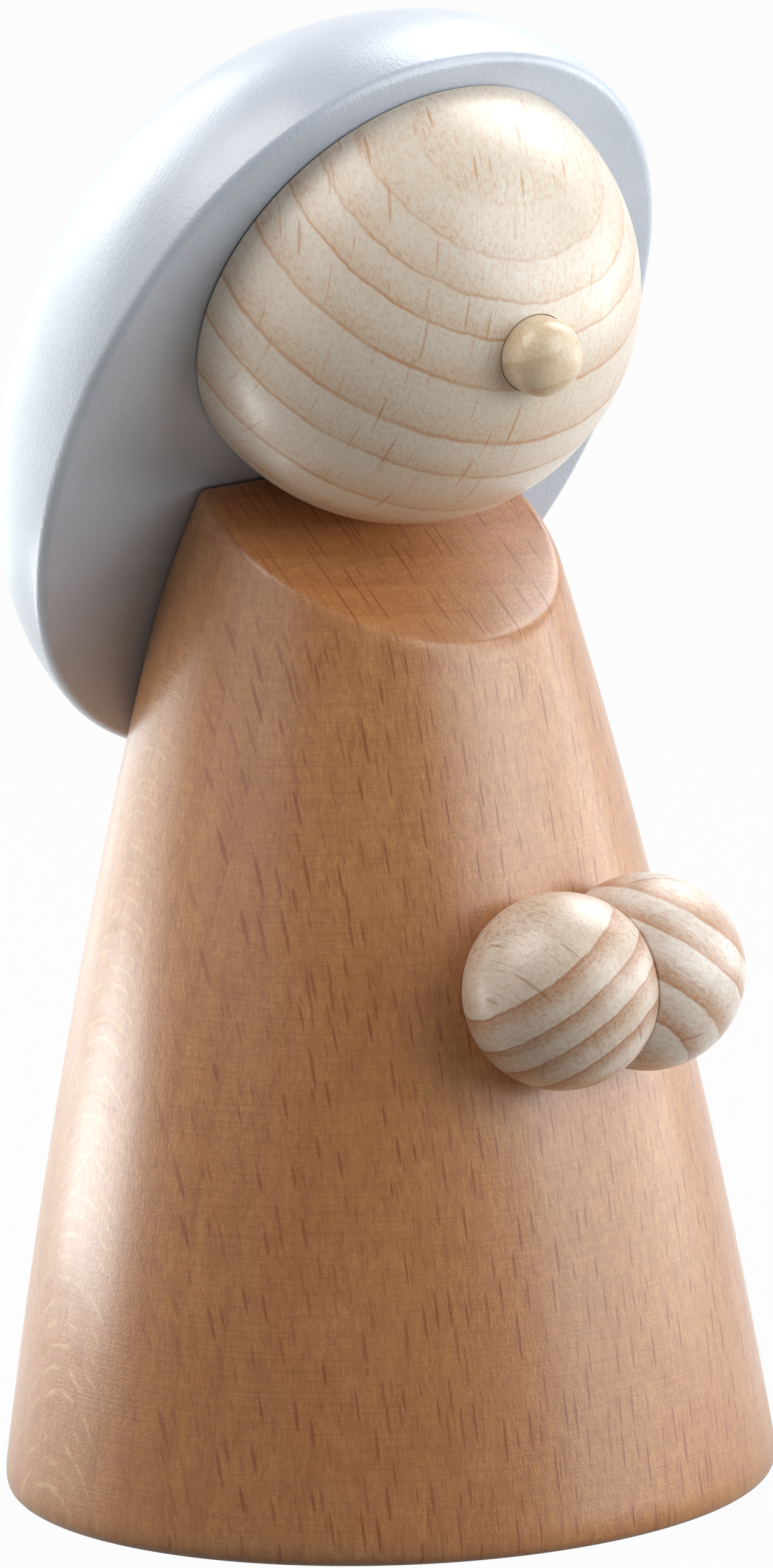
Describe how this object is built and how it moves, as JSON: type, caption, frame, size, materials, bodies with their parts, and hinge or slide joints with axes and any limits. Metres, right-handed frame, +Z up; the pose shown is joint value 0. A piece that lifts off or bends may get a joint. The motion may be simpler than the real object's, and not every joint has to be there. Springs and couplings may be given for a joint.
{
  "type": "wooden toy figure",
  "caption": "Standing wooden toy figure with a turned cone body, a ball head with a peg nose, a domed oval headscarf, painted, and ball hands folded in front.",
  "frame": {"origin": "the middle of the flat base, on the body's turning axis", "axes": "+Z up along the body's turning axis, -Y the way the figure faces, +X its left"},
  "size_m": [0.0588, 0.0628, 0.1145],
  "materials": {
    "body_beech": "brown stained, satin lacquer",
    "pale_beech": "natural, fine sanded, thin satin lacquer",
    "nose_beech": "natural, fine sanded, thin satin lacquer",
    "scarf_paint": "pale blue-grey satin paint over wood",
    "dowel_beech": "bare"
  },
  "bodies": {
    "root": {"body": "body_beech", "head": "pale_beech", "headscarf": "scarf_paint", "nose_peg": "nose_beech", "right_hand": "pale_beech", "left_hand": "pale_beech", "neck_dowel": "dowel_beech", "scarf_head_dowel": "dowel_beech", "scarf_body_dowel": "dowel_beech", "right_hand_dowel": "dowel_beech", "left_hand_dowel": "dowel_beech"}
  },
  "joints": []
}
